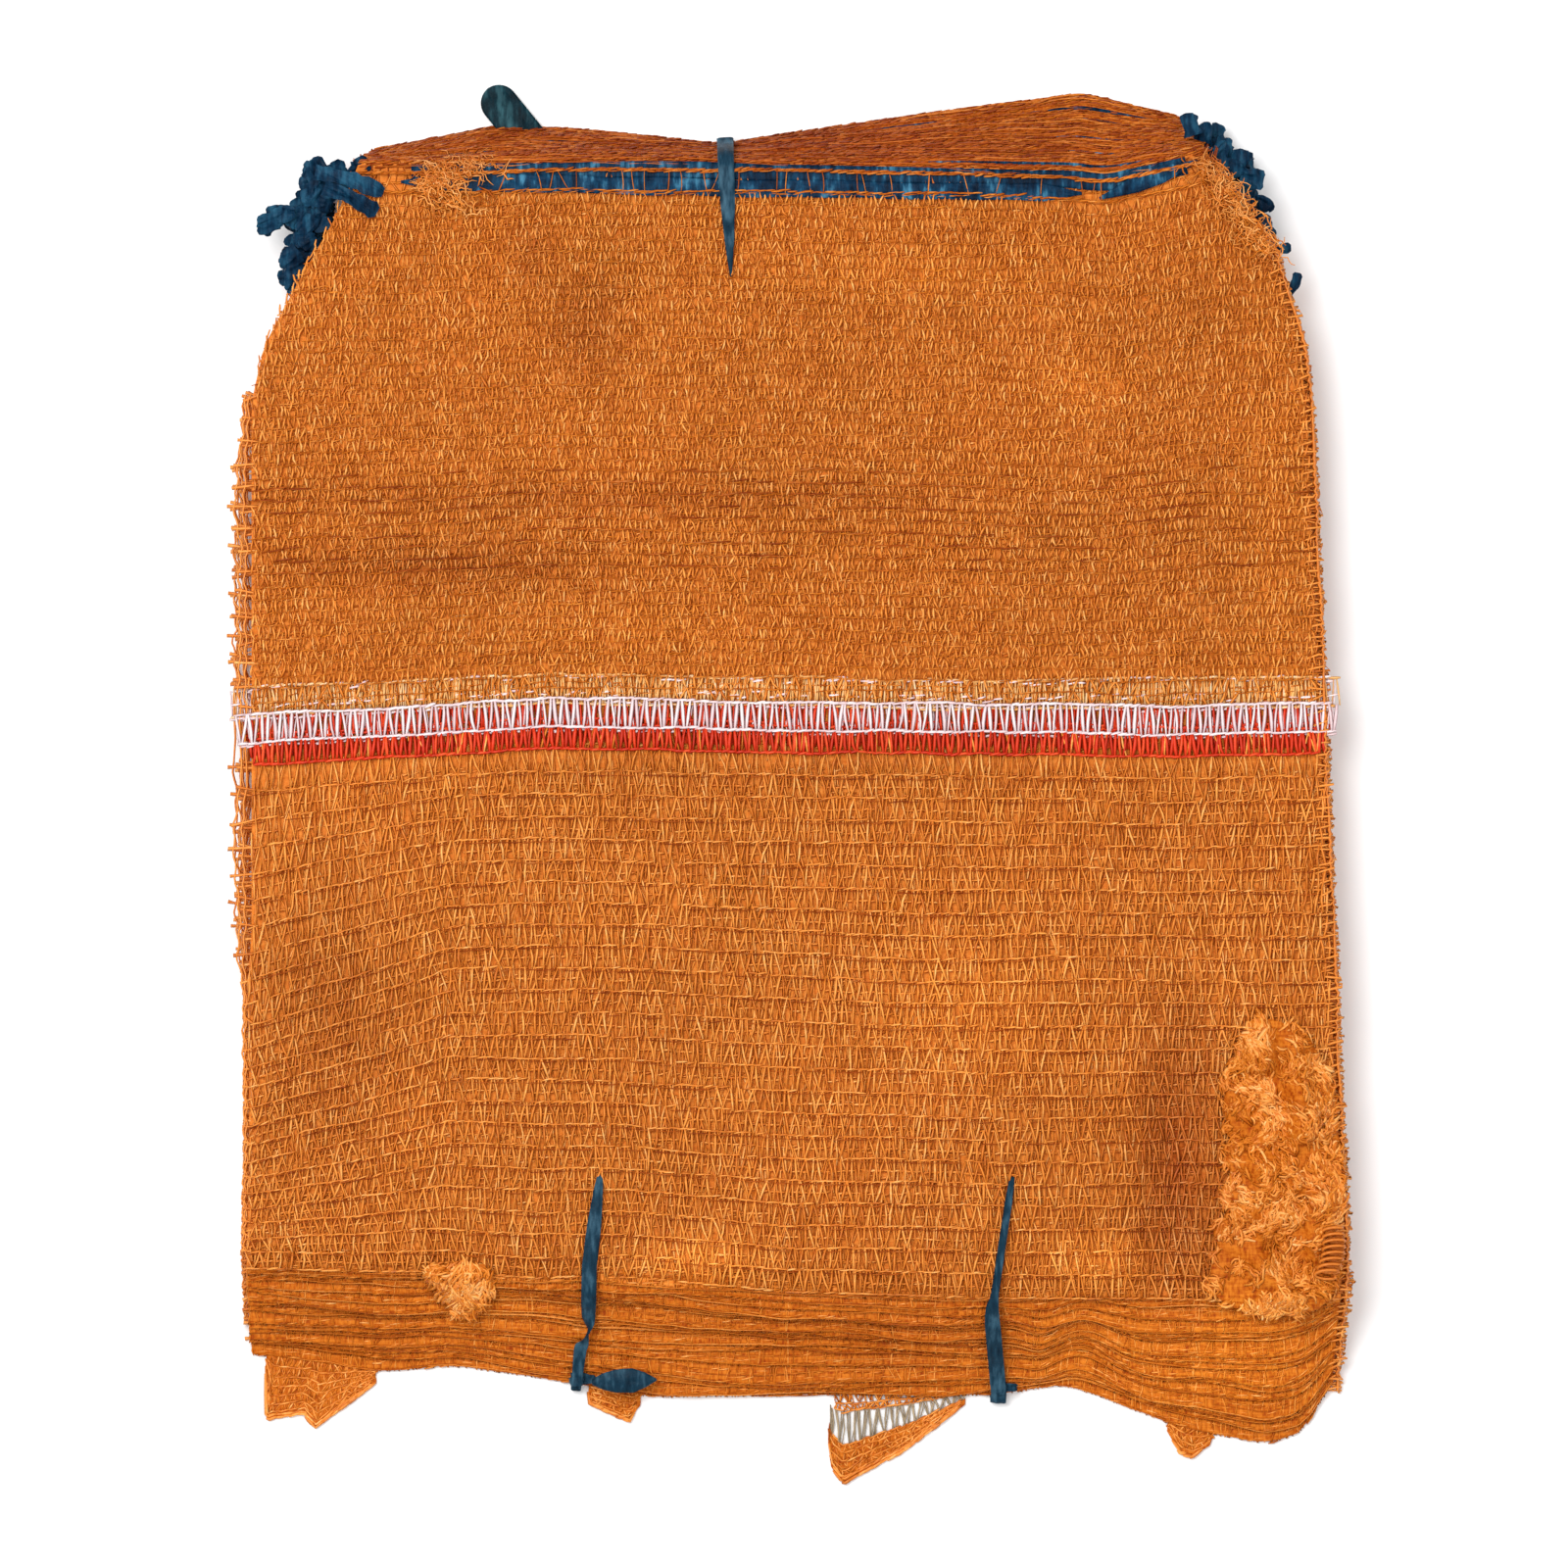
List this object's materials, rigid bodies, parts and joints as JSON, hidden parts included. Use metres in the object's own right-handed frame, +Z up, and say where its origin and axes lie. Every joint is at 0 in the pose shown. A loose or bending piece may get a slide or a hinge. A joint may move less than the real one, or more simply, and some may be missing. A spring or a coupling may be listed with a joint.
{
  "type": "mesh produce bag",
  "caption": "Tied flat bundle of orange knitted mesh produce bags with film drawstrings, a white and red stripe, three tape ties and a pull loop.",
  "frame": {"origin": "centre of the bundle's bounding box, on the surface that it lies on", "axes": "+Y towards the bag mouths, +X to the right with the mouths away from the viewer, +Z up out of the top bag's front wall"},
  "size_m": [0.4456, 0.552, 0.04],
  "materials": {
    "net_yarn": "knitted polyethylene mesh yarn, slightly glossy",
    "seam_yarn": "raw and overlocked selvedge yarn",
    "white_yarn": "white mesh yarn",
    "red_yarn": "red mesh yarn",
    "drawstring_film": "crumpled blue film tape",
    "tie_film": "folded blue film tape"
  },
  "bodies": {
    "bundle": {"net_01": "net_yarn", "net_02": "net_yarn", "net_03": "net_yarn", "net_04": "net_yarn", "net_05": "net_yarn", "net_06": "net_yarn", "net_07": "net_yarn", "net_08": "net_yarn", "net_09": "net_yarn", "net_10": "net_yarn", "net_11": "net_yarn", "net_12": "net_yarn", "net_13": "net_yarn", "net_14": "net_yarn", "net_15": "net_yarn", "net_16": "net_yarn", "net_17": "net_yarn", "corner_flap_right": "net_yarn", "side_bunch": "net_yarn", "crumpled_corner": "net_yarn", "drawstring_02": "drawstring_film", "drawstring_03": "drawstring_film", "drawstring_04": "drawstring_film", "drawstring_05": "drawstring_film", "drawstring_06": "drawstring_film", "drawstring_07": "drawstring_film", "drawstring_08": "drawstring_film", "drawstring_09": "drawstring_film", "drawstring_10": "drawstring_film", "drawstring_11": "drawstring_film", "drawstring_12": "drawstring_film", "drawstring_13": "drawstring_film", "drawstring_14": "drawstring_film", "drawstring_15": "drawstring_film", "drawstring_16": "drawstring_film", "drawstring_17": "drawstring_film", "tape_tails_left": "drawstring_film", "tape_tails_right": "drawstring_film", "tie_top": "tie_film", "tie_left": "tie_film", "tie_right": "tie_film", "tie_left_knot": "tie_film", "tie_right_knot": "tie_film", "white_stripe_01": "white_yarn", "white_stripe_02": "white_yarn", "white_stripes_lower": "white_yarn", "red_stripe_01": "red_yarn", "red_stripe_02": "red_yarn", "red_stripes_lower": "red_yarn", "side_seams_left": "seam_yarn", "side_seams_right": "seam_yarn"},
    "front_string": {"drawstring_01_front_run": "drawstring_film", "drawstring_01_end": "drawstring_film"},
    "back_string": {"drawstring_01_back_run": "drawstring_film"},
    "loop": {"pull_loop": "drawstring_film"},
    "tie_tail": {"tie_left_tail": "tie_film"},
    "left_corner": {"corner_flap_left": "net_yarn"},
    "centre_corner": {"corner_flap_centre": "net_yarn"},
    "mid_corner": {"corner_flap_mid": "net_yarn"}
  },
  "joints": [
    {"name": "loop_slide", "type": "slide", "parent": "bundle", "child": "loop", "axis": [-0.6293, 0.7771, 0], "range_m": [0, 0.05]},
    {"name": "front_string_slide", "type": "slide", "parent": "bundle", "child": "front_string", "axis": [0.9998, -0.018, 0], "range_m": [-0.008, 0.008]},
    {"name": "back_string_slide", "type": "slide", "parent": "bundle", "child": "back_string", "axis": [0.9397, 0.342, 0], "range_m": [-0.008, 0.008]},
    {"name": "tie_tail_hinge", "type": "hinge", "parent": "bundle", "child": "tie_tail", "pos_m": [-0.07612, -0.23474, 0.012], "axis": [0, -1, 0], "range_deg": [0, 120]},
    {"name": "left_corner_hinge", "type": "hinge", "parent": "bundle", "child": "left_corner", "pos_m": [-0.206, -0.2278, 0.0006], "axis": [-0.9895, 0.1444, 0], "range_deg": [0, 110]},
    {"name": "centre_corner_hinge", "type": "hinge", "parent": "bundle", "child": "centre_corner", "pos_m": [-0.092, -0.2368, 0.0006], "axis": [-0.9877, 0.1564, 0], "range_deg": [0, 55]},
    {"name": "mid_corner_hinge", "type": "hinge", "parent": "bundle", "child": "mid_corner", "pos_m": [0.017, -0.243, 0.0006], "axis": [-1, 0, 0], "range_deg": [0, 110]}
  ],
  "couplings": [
    {"joint": "back_string_slide", "follows": "front_string_slide", "ratio": 1}
  ]
}
